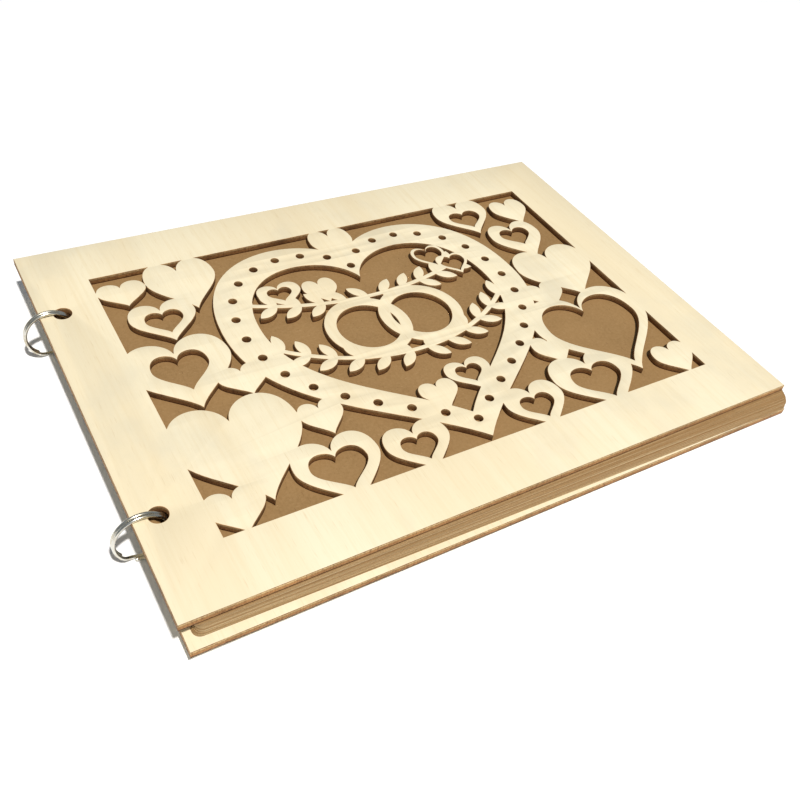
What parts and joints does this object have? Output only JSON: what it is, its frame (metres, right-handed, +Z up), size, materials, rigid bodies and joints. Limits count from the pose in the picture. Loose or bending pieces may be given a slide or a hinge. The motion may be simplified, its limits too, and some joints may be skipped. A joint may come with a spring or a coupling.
{
  "type": "wedding guest book",
  "caption": "Landscape guest book with a pierced plywood front cover of hearts, plain plywood back, kraft sheets and two split rings along the spine.",
  "frame": {"origin": "centre of the back cover's underside", "axes": "+X from the spine to the fore-edge, +Y along the spine, +Z up through the closed book"},
  "size_m": [0.2833, 0.1998, 0.0211],
  "materials": {
    "birch_ply": "matte",
    "kraft_sheet": "matte",
    "ring_steel": "satin"
  },
  "bodies": {
    "back_cover": {"back_cover": "birch_ply"},
    "near_ring": {"near_ring": "ring_steel"},
    "far_ring": {"far_ring": "ring_steel"},
    "sheet_01": {"sheet_01": "kraft_sheet"},
    "sheet_02": {"sheet_02": "kraft_sheet"},
    "sheet_03": {"sheet_03": "kraft_sheet"},
    "sheet_04": {"sheet_04": "kraft_sheet"},
    "sheet_05": {"sheet_05": "kraft_sheet"},
    "sheet_06": {"sheet_06": "kraft_sheet"},
    "sheet_07": {"sheet_07": "kraft_sheet"},
    "sheet_08": {"sheet_08": "kraft_sheet"},
    "sheet_09": {"sheet_09": "kraft_sheet"},
    "sheet_10": {"sheet_10": "kraft_sheet"},
    "sheet_11": {"sheet_11": "kraft_sheet"},
    "sheet_12": {"sheet_12": "kraft_sheet"},
    "sheet_13": {"sheet_13": "kraft_sheet"},
    "sheet_14": {"sheet_14": "kraft_sheet"},
    "sheet_15": {"sheet_15": "kraft_sheet"},
    "sheet_16": {"sheet_16": "kraft_sheet"},
    "sheet_17": {"sheet_17": "kraft_sheet"},
    "sheet_18": {"sheet_18": "kraft_sheet"},
    "sheet_19": {"sheet_19": "kraft_sheet"},
    "sheet_20": {"sheet_20": "kraft_sheet"},
    "sheet_21": {"sheet_21": "kraft_sheet"},
    "sheet_22": {"sheet_22": "kraft_sheet"},
    "sheet_23": {"sheet_23": "kraft_sheet"},
    "sheet_24": {"sheet_24": "kraft_sheet"},
    "sheet_25": {"sheet_25": "kraft_sheet"},
    "sheet_26": {"sheet_26": "kraft_sheet"},
    "front_cover": {"front_cover": "birch_ply"}
  },
  "joints": [
    {"name": "turn_sheet_26", "type": "hinge", "parent": "back_cover", "child": "sheet_26", "pos_m": [-0.13415, 0.00382, 0.00525], "axis": [0, -1, 0], "range_deg": [0, 180]},
    {"name": "turn_sheet_25", "type": "hinge", "parent": "sheet_26", "child": "sheet_25", "pos_m": [-0.13415, 0.00382, 0.00525], "axis": [0, -1, 0], "range_deg": [0, 180]},
    {"name": "turn_sheet_24", "type": "hinge", "parent": "sheet_25", "child": "sheet_24", "pos_m": [-0.13415, 0.00382, 0.00525], "axis": [0, -1, 0], "range_deg": [0, 180]},
    {"name": "turn_sheet_23", "type": "hinge", "parent": "sheet_24", "child": "sheet_23", "pos_m": [-0.13415, 0.00382, 0.00525], "axis": [0, -1, 0], "range_deg": [0, 180]},
    {"name": "turn_sheet_22", "type": "hinge", "parent": "sheet_23", "child": "sheet_22", "pos_m": [-0.13415, 0.00382, 0.00525], "axis": [0, -1, 0], "range_deg": [0, 180]},
    {"name": "turn_sheet_21", "type": "hinge", "parent": "sheet_22", "child": "sheet_21", "pos_m": [-0.13415, 0.00382, 0.00525], "axis": [0, -1, 0], "range_deg": [0, 180]},
    {"name": "turn_sheet_20", "type": "hinge", "parent": "sheet_21", "child": "sheet_20", "pos_m": [-0.13415, 0.00382, 0.00525], "axis": [0, -1, 0], "range_deg": [0, 180]},
    {"name": "turn_sheet_19", "type": "hinge", "parent": "sheet_20", "child": "sheet_19", "pos_m": [-0.13415, 0.00382, 0.00525], "axis": [0, -1, 0], "range_deg": [0, 180]},
    {"name": "turn_sheet_18", "type": "hinge", "parent": "sheet_19", "child": "sheet_18", "pos_m": [-0.13415, 0.00382, 0.00525], "axis": [0, -1, 0], "range_deg": [0, 180]},
    {"name": "turn_sheet_17", "type": "hinge", "parent": "sheet_18", "child": "sheet_17", "pos_m": [-0.13415, 0.00382, 0.00525], "axis": [0, -1, 0], "range_deg": [0, 180]},
    {"name": "turn_sheet_16", "type": "hinge", "parent": "sheet_17", "child": "sheet_16", "pos_m": [-0.13415, 0.00382, 0.00525], "axis": [0, -1, 0], "range_deg": [0, 180]},
    {"name": "turn_sheet_15", "type": "hinge", "parent": "sheet_16", "child": "sheet_15", "pos_m": [-0.13415, 0.00382, 0.00525], "axis": [0, -1, 0], "range_deg": [0, 180]},
    {"name": "turn_sheet_14", "type": "hinge", "parent": "sheet_15", "child": "sheet_14", "pos_m": [-0.13415, 0.00382, 0.00525], "axis": [0, -1, 0], "range_deg": [0, 180]},
    {"name": "turn_sheet_13", "type": "hinge", "parent": "sheet_14", "child": "sheet_13", "pos_m": [-0.13415, 0.00382, 0.00525], "axis": [0, -1, 0], "range_deg": [0, 180]},
    {"name": "turn_sheet_12", "type": "hinge", "parent": "sheet_13", "child": "sheet_12", "pos_m": [-0.13415, 0.00382, 0.00525], "axis": [0, -1, 0], "range_deg": [0, 180]},
    {"name": "turn_sheet_11", "type": "hinge", "parent": "sheet_12", "child": "sheet_11", "pos_m": [-0.13415, 0.00382, 0.00525], "axis": [0, -1, 0], "range_deg": [0, 180]},
    {"name": "turn_sheet_10", "type": "hinge", "parent": "sheet_11", "child": "sheet_10", "pos_m": [-0.13415, 0.00382, 0.00525], "axis": [0, -1, 0], "range_deg": [0, 180]},
    {"name": "turn_sheet_09", "type": "hinge", "parent": "sheet_10", "child": "sheet_09", "pos_m": [-0.13415, 0.00382, 0.00525], "axis": [0, -1, 0], "range_deg": [0, 180]},
    {"name": "turn_sheet_08", "type": "hinge", "parent": "sheet_09", "child": "sheet_08", "pos_m": [-0.13415, 0.00382, 0.00525], "axis": [0, -1, 0], "range_deg": [0, 180]},
    {"name": "turn_sheet_07", "type": "hinge", "parent": "sheet_08", "child": "sheet_07", "pos_m": [-0.13415, 0.00382, 0.00525], "axis": [0, -1, 0], "range_deg": [0, 180]},
    {"name": "turn_sheet_06", "type": "hinge", "parent": "sheet_07", "child": "sheet_06", "pos_m": [-0.13415, 0.00382, 0.00525], "axis": [0, -1, 0], "range_deg": [0, 180]},
    {"name": "turn_sheet_05", "type": "hinge", "parent": "sheet_06", "child": "sheet_05", "pos_m": [-0.13415, 0.00382, 0.00525], "axis": [0, -1, 0], "range_deg": [0, 180]},
    {"name": "turn_sheet_04", "type": "hinge", "parent": "sheet_05", "child": "sheet_04", "pos_m": [-0.13415, 0.00382, 0.00525], "axis": [0, -1, 0], "range_deg": [0, 180]},
    {"name": "turn_sheet_03", "type": "hinge", "parent": "sheet_04", "child": "sheet_03", "pos_m": [-0.13415, 0.00382, 0.00525], "axis": [0, -1, 0], "range_deg": [0, 180]},
    {"name": "turn_sheet_02", "type": "hinge", "parent": "sheet_03", "child": "sheet_02", "pos_m": [-0.13415, 0.00382, 0.00525], "axis": [0, -1, 0], "range_deg": [0, 180]},
    {"name": "turn_sheet_01", "type": "hinge", "parent": "sheet_02", "child": "sheet_01", "pos_m": [-0.13415, 0.00382, 0.00525], "axis": [0, -1, 0], "range_deg": [0, 180]},
    {"name": "open_front_cover", "type": "hinge", "parent": "sheet_01", "child": "front_cover", "pos_m": [-0.13415, 0.00382, 0.00525], "axis": [0, -1, 0], "range_deg": [0, 180]},
    {"name": "spin_near_ring", "type": "hinge", "parent": "back_cover", "child": "near_ring", "pos_m": [-0.13415, -0.05168, 0.00525], "axis": [0, 0.9976, -0.0698], "continuous": true},
    {"name": "spin_far_ring", "type": "hinge", "parent": "back_cover", "child": "far_ring", "pos_m": [-0.13415, 0.05932, 0.00525], "axis": [0, 0.9976, -0.0698], "continuous": true}
  ]
}
